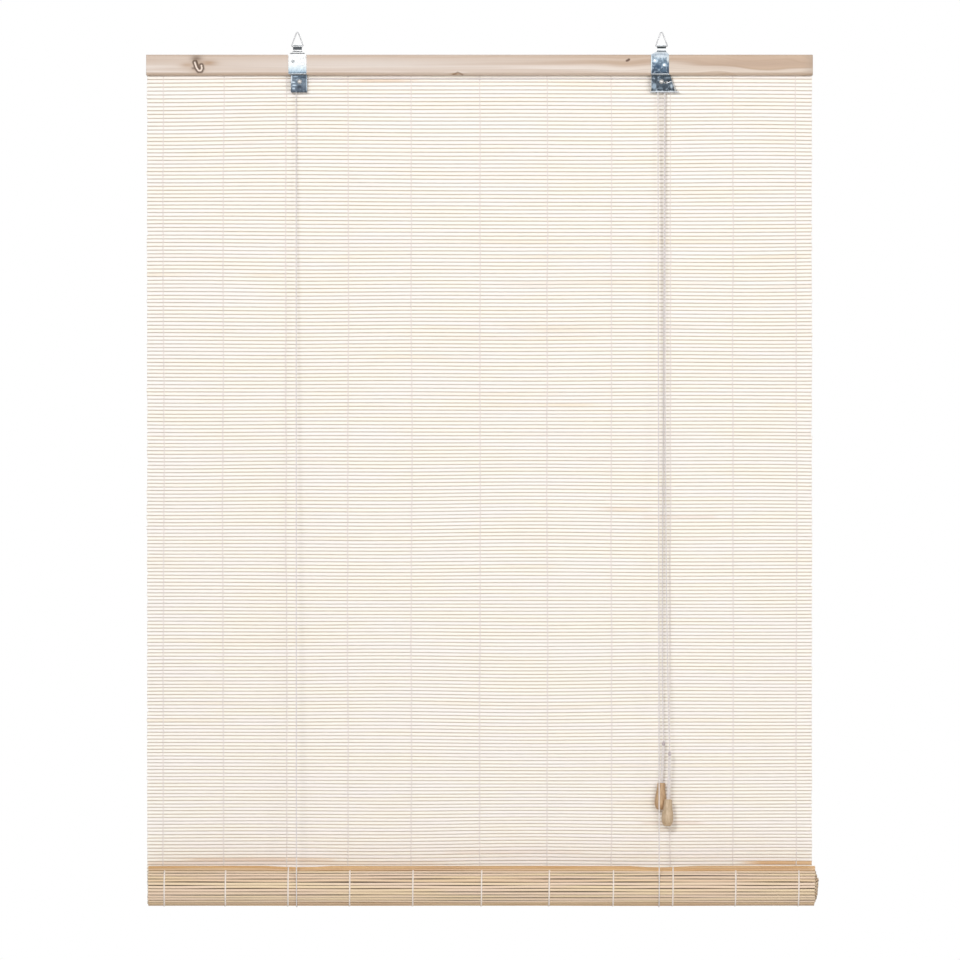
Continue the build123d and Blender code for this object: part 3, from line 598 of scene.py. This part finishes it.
def sticks_object(name, x, centre, up, forward, half_high, half_thick, tones, gold_and_shade):
    """A mesh of sticks. centre is (sticks, stations, 2) in Y and Z. up and forward are each stick's ways up
    the mat and towards its front, in Y and Z."""
    count = len(x)
    sides = len(SECTION)
    depth = SECTION[:, 0]
    height = SECTION[:, 1]
    yz = (
        centre[:, :, None, :]
        - forward[:, None, None, :] * (half_thick[:, :, None, None] * depth[None, None, :, None])
        + up[:, None, None, :] * (half_high[:, :, None, None] * height[None, None, :, None])
    )
    points = np.empty((count, STATIONS, sides, 3))
    points[..., 0] = x[:, :, None]
    points[..., 1:] = yz
    per_stick = STATIONS * sides
    faces = []
    for i in range(count):
        faces += tube_faces(STATIONS, sides, i * per_stick)
    obj = new_object(name, points.reshape(-1, 3), faces, REED)
    add_values(obj, "stick", np.repeat(rng.uniform(0, 1, count), per_stick))
    add_values(obj, "tone", np.repeat(tones, per_stick))
    add_values(obj, "rear", np.tile((depth + 1) / 2, count * STATIONS))
    add_values(obj, "gold_and_shade", np.repeat(gold_and_shade, sides))
    add_values(obj, "groove", np.tile(GROOVE, count * STATIONS))
    return obj


# Flat mat: neighbouring sticks share a wavy boundary, so they touch and never cross. The waves die out at its
# top and foot.
numbers = np.arange(STICKS + 1)[:, None]
boundaries = MAT_TOP - (MAT_TOP - MAT_FOOT) * groove_share(numbers)
across = ACROSS[None, :]
down = np.linspace(0, 1, STICKS + 1)[:, None]
shared = np.zeros((STICKS + 1, STATIONS))
for over_width, over_length in ((0.9, 0.31), (0.55, 0.17), (1.7, 0.11), (0.36, 0.23)):
    first, second = rng.uniform(0, 2 * math.pi, 2)
    shared += np.sin(across * math.pi / over_width + first) * np.sin(down * math.pi / over_length + second)
shared *= MAT_WAVE / 2 * np.clip(down * 12, 0, 1) * np.clip((1 - down) * 30, 0, 1)
own = waves(STICKS + 1, STICK_WAVE, (0.9, 0.4, 0.18)) + rng.normal(0, STICK_WAVE, (STICKS + 1, 1)) * across
bowed = np.clip(1 - numbers / BOW_STICKS, 0, 1) * np.clip(numbers / BOW_EASE, 0, 1)
bow = BOW * np.cos(across * math.pi / 2) * bowed
lines = boundaries + shared + own + bow
lines[0] = MAT_TOP
lines[-1] = MAT_FOOT
for i in range(1, STICKS):
    lines[i] = np.minimum(lines[i], lines[i - 1] - LEAST_PITCH)
for i in range(STICKS - 1, 0, -1):
    lines[i] = np.maximum(lines[i], lines[i + 1] + LEAST_PITCH)

tones = rng.beta(1.2, 4.0, STICKS)
gold_and_shade = np.zeros((STICKS, STATIONS))
columns = MIDDLE_PX + ACROSS * MAT_HALF / PX
for row, first, last, strength in GOLDEN_AND_SHADED:
    number = int(np.argmin(abs(HOOK_PX - (lines[:-1, 0] + lines[1:, 0]) / 2 / PX - row)))
    from_left = np.clip((columns - first) / GOLDEN_EASE, 0, 1)
    from_right = np.clip((last - columns) / GOLDEN_EASE, 0, 1)
    gold_and_shade[number] = np.maximum(gold_and_shade[number], strength * (from_left * from_right))
x = stick_ends(STICKS, -MAT_HALF, MAT_HALF)
tops, feet = lines[:-1], lines[1:]
centre = np.stack([MAT_Y + waves(STICKS, 0.1 * MM, (0.6, 0.3)), (tops + feet) / 2], axis=2)
half_high = (tops - feet) / 2 * STICK_SWELL
half_thick = STICK_T / 2 * (1 + waves(STICKS, 0.05, (0.8, 0.4))) * rng.uniform(0.9, 1.06, (STICKS, 1))
up = np.tile((0.0, 1.0), (STICKS, 1))
forward = np.tile((-1.0, 0.0), (STICKS, 1))
half_way = STICKS // 2
for name, part in (("mat_reeds_upper", slice(0, half_way)), ("mat_reeds_lower", slice(half_way, STICKS))):
    reeds = sticks_object(
        name, x[part], centre[part], up[part], forward[part], half_high[part], half_thick[part],
        tones[part], gold_and_shade[part],
    )
    blend_evenly(reeds)
    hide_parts("reed_mat")

# Roll: a spiral of sticks, each turn a little further to the right than the one outside it
ROLL_Y, ROLL_Z = joints["roll_turn"]["pos_m"][1:]
TURN_PITCH = 4.7 * MM
ROLL_START_R = MAT_Y - ROLL_Y
TURNS = 4
ROLL_STICKS_A_TURN = 39
ROLL_SHIFT = 2.0 * MM
ROLL_SHIFT_OVER = 0.6  # half turns
TURN_SHIFT = 1.5 * MM
ROLL_STICK_SHARE = 0.97  # how much of its place on the roll a stick fills
ROLL_END = 2 * TURNS - 0.02  # half turns to the last stick
GOLD_TOP, GOLD_FOOT = 1.46, 0.56  # half turns to the sticks on top of and beneath the roll, painted golden as warm shade
GOLD_REACH = 0.15
LOOSE = 1.8 * MM  # how far the loose topmost sticks stand off the turn below
CORD_HOLD = 30 * MM  # and how near a lift cord they still lie tight


def half_turn(turned):
    """How far behind the axis the centre of the half turn at a place is, and its radius."""
    number = min(int(turned), 2 * TURNS - 1)
    side = 1 if number % 2 == 0 else -1
    return side * TURN_PITCH / 4, ROLL_START_R - TURN_PITCH / 4 - number * TURN_PITCH / 2


def on_spiral(turned, out=0.0):
    """Y and Z after so many half turns from the back, so far outside the mat's middle, and the way out."""
    shift, radius = half_turn(turned)
    angle = math.pi * turned
    way = np.array((math.cos(angle), -math.sin(angle)))
    return np.array((ROLL_Y + shift, ROLL_Z)) + (radius + out) * way, way


def roll_sideways(turned):
    """How far right of the flat mat the roll stands after so many half turns."""
    return ROLL_SHIFT * min(turned / ROLL_SHIFT_OVER, 1.0) + TURN_SHIFT * turned / 2


run = ROLL_START_R * 2 * math.pi / ROLL_STICKS_A_TURN
places = []
turned = run / 2 / (math.pi * ROLL_START_R)
while turned < ROLL_END:
    places.append(turned)
    turned += run / (math.pi * half_turn(turned)[1])
count = len(places)
middles = [on_spiral(t) for t in places]
outward = np.array([way for _, way in middles])
along = np.stack([outward[:, 1], -outward[:, 0]], axis=1)
base = np.array([point for point, _ in middles])
turned_by = np.array(places)
on_top = np.exp(-((turned_by - GOLD_TOP) / GOLD_REACH) ** 4)
sway = waves(count, 0.26 * MM, (0.9, 0.45, 0.22))
held = [np.exp(-((ACROSS * MAT_HALF - middle(side + "_cord_sling").x) / CORD_HOLD) ** 4) for side in SIDES]
lift = waves(count, 0.12 * MM, (0.8, 0.4)) + LOOSE * on_top[:, None] * (1 - held[0] - held[1])
centre = base[:, None, :] + along[:, None, :] * sway[:, :, None] + outward[:, None, :] * lift[:, :, None]
roll_x = stick_ends(count, -MAT_HALF, MAT_HALF) + np.array([roll_sideways(t) for t in places])[:, None]
roll_tones = rng.beta(1.3, 2.6, count)
# Painted warm shade: golden on the sticks on top of the roll, and less so on those beneath it
beneath = np.exp(-((turned_by - GOLD_FOOT) / GOLD_REACH) ** 4) * 0.6
roll_warm_shade = np.clip((on_top + beneath)[:, None] * (0.85 + waves(count, 0.3, (1.1, 0.5))), 0, 1)
high = np.full((count, STATIONS), run / 2 * ROLL_STICK_SHARE) * (1 + waves(count, 0.03, (0.7, 0.3)))
thick = STICK_T / 2 * (1 + waves(count, 0.05, (0.8, 0.4)))
# The mat's back is outside, so each stick's front looks inwards
roll_reeds = sticks_object("roll_reeds", roll_x, centre, along, -outward, high, thick, roll_tones, roll_warm_shade)
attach(roll_reeds, "roll")
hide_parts("reed_roll")

# Warp threads: a thin one over the mat's face and a thicker one over its back, dipping between the sticks
THREAD_XS = [at_x(px) for px in (163, 224, 286.5, 348, 411, 479.5, 547, 611, 670.5, 733, 796)]
FRONT_THREAD_R = 0.32 * MM
BACK_THREAD_R = 0.55 * MM
THREAD_SPREAD = 2.0  # a thread is this much wider than it is deep
THREAD_DIP = 0.35 * MM
THREAD_SINK = 0.6  # a thread's middle stands this share of its radius off the sticks
THREAD_SIDES = 6
ACROSS_START = (0.31, 0.77, 0.55)  # a direction that no tube starts along


def tube_points(path, radius, sides, spread):
    """Ring points of a round tube along a path, by parallel transport."""
    path = np.asarray(path, float)
    tangents = np.gradient(path, axis=0)
    tangents /= np.linalg.norm(tangents, axis=1)[:, None]
    normal = np.cross(tangents[0], ACROSS_START)
    normal /= np.linalg.norm(normal)
    rings = []
    for point, tangent in zip(path, tangents):
        normal = normal - tangent * (normal @ tangent)
        normal /= np.linalg.norm(normal)
        side = np.cross(tangent, normal)
        angles = np.arange(sides) * 2 * math.pi / sides
        ring = radius * (np.cos(angles)[:, None] * normal + np.sin(angles)[:, None] * side)
        rings.append(point + ring * (spread, 1, 1))
    return np.concatenate(rings)


def tubes_object(name, paths, radius, sides, spread, material):
    """One mesh of several plain tubes, widened along X."""
    verts, faces = [], []
    for path in paths:
        faces += tube_faces(len(path), sides, sum(len(v) for v in verts))
        verts.append(tube_points(path, radius, sides, spread))
    return new_object(name, np.concatenate(verts), faces, material)


def flat_thread(x, side, radius):
    """A thread down the mat at one x: out over each stick and in at each groove."""
    share = (x + MAT_HALF) / (2 * MAT_HALF)
    heights = [np.interp(share, SHARES, line) for line in lines]
    sway = np.cumsum(rng.normal(0, 0.1 * MM, STICKS + 1))
    sway -= np.linspace(0, 1, STICKS + 1) * sway[-1]
    proud = STICK_T / 2 + radius * THREAD_SINK
    path = []
    for i in range(STICKS):
        top, foot = heights[i], heights[i + 1]
        here = x + sway[i]
        path.append((here, MAT_Y + side * (proud - THREAD_DIP), top))
        path.append((here, MAT_Y + side * proud, top + (foot - top) * 0.3))
        path.append((here, MAT_Y + side * proud, top + (foot - top) * 0.7))
    path.append((x, MAT_Y + side * (proud - THREAD_DIP), heights[-1]))
    return path


for name, side, radius, material in (
    ("front_threads", -1, FRONT_THREAD_R, FRONT_THREAD),
    ("back_threads", 1, BACK_THREAD_R, BACK_THREAD),
):
    paths = [flat_thread(x, side, radius) for x in THREAD_XS]
    threads = tubes_object(name, paths, radius, THREAD_SIDES, THREAD_SPREAD, material)
    blend_evenly(threads)
    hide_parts("reed_mat")


def roll_thread(x):
    """The thicker thread round the roll, outside every stick."""
    path = []
    half = run / 2
    for t in places:
        step = half / (math.pi * half_turn(t)[1])
        here = x + roll_sideways(t)
        for turned, out in ((t - step, -THREAD_DIP), (t - step * 0.4, 0.0), (t + step * 0.4, 0.0)):
            point, _ = on_spiral(max(turned, 0.0), STICK_T / 2 + BACK_THREAD_R * THREAD_SINK + out)
            path.append((here, *point))
    return path


roll_paths = [roll_thread(x) for x in THREAD_XS]
roll_threads = tubes_object(
    "roll_threads", roll_paths, BACK_THREAD_R, THREAD_SIDES, THREAD_SPREAD, BACK_THREAD,
)
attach(roll_threads, "roll")
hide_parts("reed_roll")

# Twisted cords
CORD_D = 1.6 * MM
CORD_SIDES = 9
STRANDS = 3
STRAND_PITCH = 7.0 * MM
RING_STEP = 0.85 * MM
STRAND_DEPTH = 0.13


def evenly(path, step):
    """Points along a path, so far apart."""
    path = np.asarray(path, float)
    gaps = np.linalg.norm(np.diff(path, axis=0), axis=1)
    total = np.concatenate([[0], np.cumsum(gaps)])
    at = np.linspace(0, total[-1], max(2, round(total[-1] / step) + 1))
    return np.stack([np.interp(at, total, path[:, k]) for k in range(3)], axis=1)


def rope_points(path):
    """Ring points of a three-strand rope, and how near its crown each lies."""
    path = evenly(path, RING_STEP)
    tangents = np.gradient(path, axis=0)
    tangents /= np.linalg.norm(tangents, axis=1)[:, None]
    normal = np.cross(tangents[0], ACROSS_START)
    normal /= np.linalg.norm(normal)
    angles = np.arange(CORD_SIDES) * 2 * math.pi / CORD_SIDES
    rings, crowns = [], []
    for i, (point, tangent) in enumerate(zip(path, tangents)):
        normal = normal - tangent * (normal @ tangent)
        normal /= np.linalg.norm(normal)
        side = np.cross(tangent, normal)
        twist = i * RING_STEP / STRAND_PITCH * 2 * math.pi
        crown = (np.cos(STRANDS * (angles - twist)) + 1) / 2
        radius = CORD_D / 2 * (1 - STRAND_DEPTH * (1 - crown))
        ways = np.cos(angles)[:, None] * normal + np.sin(angles)[:, None] * side
        rings.append(point + radius[:, None] * ways)
        crowns.append(crown)
    return np.concatenate(rings), np.concatenate(crowns), len(path)


def rope_object(name, paths, material=CORD):
    """One mesh of one or more twisted cords."""
    verts, crowns, faces = [], [], []
    for path in paths:
        points, crown, rings = rope_points(path)
        faces += tube_faces(rings, CORD_SIDES, sum(len(v) for v in verts))
        verts.append(points)
        crowns.append(crown)
    obj = new_object(name, np.concatenate(verts), faces, material)
    add_values(obj, "crown", np.concatenate(crowns))
    return obj


def route(points):
    """A cord's smooth line through its given points, as a NURBS spline gives it."""
    curve = bpy.data.curves.new("route", "CURVE")
    curve.dimensions = "3D"
    curve.resolution_u = 24
    spline = curve.splines.new("NURBS")
    spline.points.add(len(points) - 1)
    for point, place in zip(spline.points, points):
        point.co = (*place, 1)
    spline.order_u = 3
    spline.use_endpoint_u = True
    holder = bpy.data.objects.new("route", curve)
    mesh = bpy.data.meshes.new_from_object(holder)
    line = [tuple(v.co) for v in mesh.vertices]
    bpy.data.meshes.remove(mesh)
    bpy.data.curves.remove(curve)
    return line


def arc(centre, radius, start, stop, plane, count=24):
    """Points of an arc, by its angles in degrees, where plane gives a point from its two coordinates."""
    angles = np.radians(np.linspace(start, stop, count))
    return [plane(centre[0] + radius * math.cos(a), centre[1] + radius * math.sin(a)) for a in angles]


CORD_R = CORD_D / 2
BEND_R = 4.7 * MM  # of a cord on its roller
AXLE_Z = joints["left_roller_spin"]["pos_m"][2]
AXLES = {side: joints[side + "_roller_spin"]["pos_m"][0] for side in SIDES}
GROOVES = {"left": middle("cross_cord").y, "right": middle("right_cord_turn").y}
SLING_Y, SLING_R = -13.825 * MM, 28.575 * MM
for side in SIDES:
    low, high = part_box(side + "_cord_sling")
    sling_x = (low.x + high.x) / 2
    groove_y = GROOVES[side]
    start = (AXLES[side] - BEND_R, groove_y, AXLE_Z)
    rise, ahead = AXLE_Z - ROLL_Z, groove_y - SLING_Y
    lean = math.acos(SLING_R / math.hypot(ahead, rise)) + math.atan2(rise, ahead)
    end = (sling_x, SLING_Y + SLING_R * math.cos(lean), ROLL_Z + SLING_R * math.sin(lean))
    front = rope_object(side + "_lift_cord_front", [[start, end]])
    blend_evenly(front)
    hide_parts(side + "_cord_front_leg")
    under = arc((SLING_Y, ROLL_Z), SLING_R, 0, math.degrees(lean) - 360, lambda y, z: (sling_x, y, z), 60)
    sling = rope_object(side + "_lift_cord_under_roll", [under])
    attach(sling, "slings")
    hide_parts(side + "_cord_sling")
    top = (sling_x, SLING_Y + SLING_R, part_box(side + "_cord_back_leg")[1].z)
    foot = (sling_x, SLING_Y + SLING_R, ROLL_Z)
    back = rope_object(side + "_lift_cord_back", [[top, foot]])
    blend_evenly(back)
    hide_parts(side + "_cord_back_leg")

over_left = arc((AXLES["left"], AXLE_Z), BEND_R, 180, 90, lambda x, z: (x, GROOVES["left"], z))
down_right = arc((AXLES["right"], AXLE_Z), BEND_R, 90, 0, lambda x, z: (x, GROOVES["left"], z))
crossing = rope_object("crossing_cord", [over_left + down_right])
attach(crossing, "headrail")
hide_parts("cross_cord")
over_right = rope_object(
    "right_cord_over_roller",
    [arc((AXLES["right"], AXLE_Z), BEND_R, 180, 0, lambda x, z: (x, GROOVES["right"], z))],
)
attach(over_right, "headrail")
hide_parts("right_cord_turn")

KNOT_WRAPS = 3.2
KNOT_STEPS = 70


def wound_knot(name, node, body):
    """A knot as a few wraps of the cord round itself, drawn in at both ends."""
    low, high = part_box(node)
    centre = (low + high) / 2
    wrap_r = (high.x - low.x) / 2 - CORD_R
    rise = high.z - low.z - CORD_D
    path = []
    for t in np.linspace(0, 1, KNOT_STEPS):
        angle = 2 * math.pi * KNOT_WRAPS * t
        pull = math.sin(math.pi * t) ** 0.35
        path.append((
            centre.x + wrap_r * pull * math.cos(angle),
            centre.y + wrap_r * pull * math.sin(angle),
            low.z + CORD_R + rise * (1 - t),
        ))
    obj = rope_object(name, [path], SHADED_KNOT_CORD)
    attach(obj, body)
    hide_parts(node)
    return obj


# Pull cords: from the right roller's side down to the knots that the tassels hang from
EXIT_X = AXLES["right"] + BEND_R
LOOP_HALF = 0.95 * MM  # from a doubled cord's middle to each strand's
LOOP_INTO_KNOT = 0.03  # the share of its length by which it starts inside its knot
LOOP_NAMES = {"rear": "rear_tassel_cord", "front": "front_tassel_loop"}
for side in SIDES:
    wound_knot(side + "_end_knot", side + "_cord_end_knot", "headrail")
knot_tops = {}
for side in ("rear", "front"):
    wound_knot(side + "_knot", side + "_cord_knot", side + "_pull")
    wound_knot(side + "_knot_in_tassel", side + "_tassel_knot", side + "_pull")
    low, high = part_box(side + "_cord_knot")
    knot_tops[side] = np.array(((low.x + high.x) / 2, (low.y + high.y) / 2, high.z))
    foot = np.array((*knot_tops[side][:2], low.z))
    run_down = np.array(middle(side + "_tassel_knot")) - foot
    across_loop = np.array((-run_down[2], 0, run_down[0])) / math.hypot(run_down[0], run_down[2]) * LOOP_HALF
    loop = rope_object(side + "_loop", [
        [foot + way * across_loop - run_down * LOOP_INTO_KNOT, foot + way * across_loop + run_down]
        for way in (-1, 1)
    ])
    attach(loop, side + "_pull")
    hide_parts(LOOP_NAMES[side])
ROUTES = {
    "rear": [
        (EXIT_X, GROOVES["left"], AXLE_Z),
        (at_x(663.5), GROOVES["left"] - 1.5 * MM, at_z(420)),
        (at_x(661.8), knot_tops["rear"][1] + 0.6 * MM, at_z(690)),
        tuple(knot_tops["rear"]),
    ],
    "front": [
        (EXIT_X, GROOVES["right"], AXLE_Z),
        (at_x(664.8), GROOVES["right"] - 4.0 * MM, at_z(420)),
        (at_x(667.4), knot_tops["front"][1] + 0.8 * MM, at_z(685)),
        tuple(knot_tops["front"]),
    ],
}
for side, points in ROUTES.items():
    line = route(points)
    pull = rope_object(side + "_pull_cord_rope", [line])
    blend_evenly(pull)
    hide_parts(side + "_pull_cord")

# A bright steel strip below the lock's slot, standing in for the highlight on the slot's lower edge
SLOT_SLOPE = math.radians(21)
SLOT_EDGE = 1.3 * MM  # from the pin's middle down to the edge
SLOT_EDGE_R = 0.5 * MM
SLOT_EDGE_SIDES = 8
pin = middle("lock_pin")
slot_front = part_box("right_roller_rivet")[0].y + 1.1 * MM


def along_slot(run):
    return (
        pin.x + run * math.cos(SLOT_SLOPE) + SLOT_EDGE * math.sin(SLOT_SLOPE),
        slot_front,
        pin.z + run * math.sin(SLOT_SLOPE) - SLOT_EDGE * math.cos(SLOT_SLOPE),
    )


slot_run = np.linspace(-1.6 * MM, 6.0 * MM, 8)
slot_highlight = tubes_object(
    "lock_slot_highlight", [[along_slot(run) for run in slot_run]], SLOT_EDGE_R, SLOT_EDGE_SIDES, 1.0,
    plain_metal("slot_highlight_steel", (0.95, 0.97, 1.0), 0.3, 0.1),
)
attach(slot_highlight, "headrail")

# Studio: a white world that pieces reflect, three soft boxes, and a pale floor that fades out
AMBIENT = 0.27
LAMP_AIM = Vector((0, 0, -0.6))
FLOOR_Z = -1.62
FLOOR_HALF = 4.0
FLOOR_FADE = (0.7, 1.9)  # from the middle

world = bpy.data.worlds.new("studio")
bpy.context.scene.world = world
world.use_nodes = True
tree = world.node_tree
tree.nodes.clear()
rays = add_node(tree, "ShaderNodeLightPath").outputs
seen = rays["Is Camera Ray"]
for kind in ("Is Glossy Ray", "Is Transmission Ray"):
    seen = add_node(tree, "ShaderNodeMath", {0: seen, 1: rays[kind]}, operation="MAXIMUM").outputs[0]
strength = add_node(tree, "ShaderNodeMapRange", {"Value": seen, "To Min": AMBIENT, "To Max": 1.0}).outputs[0]
background = add_node(tree, "ShaderNodeBackground", {"Strength": strength, "Color": (1, 1, 1, 1)}).outputs[0]
add_node(tree, "ShaderNodeOutputWorld", {"Surface": background})


def soft_box(name, place, size, power):
    data = bpy.data.lights.new(name, "AREA")
    data.shape = "SQUARE"
    data.size = size
    data.energy = power
    lamp = bpy.data.objects.new(name, data)
    lamp.location = place
    lamp.rotation_mode = "QUATERNION"
    lamp.rotation_quaternion = (LAMP_AIM - Vector(place)).to_track_quat("-Z", "Y")
    bpy.context.scene.collection.objects.link(lamp)


soft_box("key_light", (-1.0, -4.2, 0.75), 0.8, 80)
soft_box("fill_light", (1.9, -3.9, 0.35), 1.6, 55)
soft_box("back_light", (0.5, 3.6, 1.2), 2.0, 100)

corners = [(-1, -1), (1, -1), (1, 1), (-1, 1)]
floor_material = bpy.data.materials.new("floor")
floor_material.use_nodes = True
floor = new_object(
    "floor", [(FLOOR_HALF * x, FLOOR_HALF * y, FLOOR_Z) for x, y in corners], [(0, 1, 2, 3)], floor_material,
    smooth=False,
)
tree = floor_material.node_tree
pale = tree.nodes["Principled BSDF"]
pale.inputs["Base Color"].default_value = (0.82, 0.82, 0.81, 1)
pale.inputs["Roughness"].default_value = 0.9
place = add_node(tree, "ShaderNodeTexCoord").outputs["Object"]
fade = add_node(
    tree, "ShaderNodeMapRange",
    {
        "Value": add_node(tree, "ShaderNodeVectorMath", {0: place}, operation="LENGTH").outputs["Value"],
        "From Min": math.hypot(FLOOR_FADE[0], FLOOR_Z),
        "From Max": math.hypot(FLOOR_FADE[1], FLOOR_Z),
    },
    interpolation_type="SMOOTHSTEP",
).outputs["Result"]
seen = add_node(tree, "ShaderNodeLightPath").outputs["Is Camera Ray"]
faded = add_node(tree, "ShaderNodeMath", {0: fade, 1: seen}, operation="MULTIPLY").outputs[0]
white = add_node(tree, "ShaderNodeEmission", {"Strength": 1.0}).outputs[0]
shown = add_node(tree, "ShaderNodeMixShader", {0: faded, 1: pale.outputs[0], 2: white}).outputs[0]
tree.links.new(shown, tree.nodes["Material Output"].inputs["Surface"])
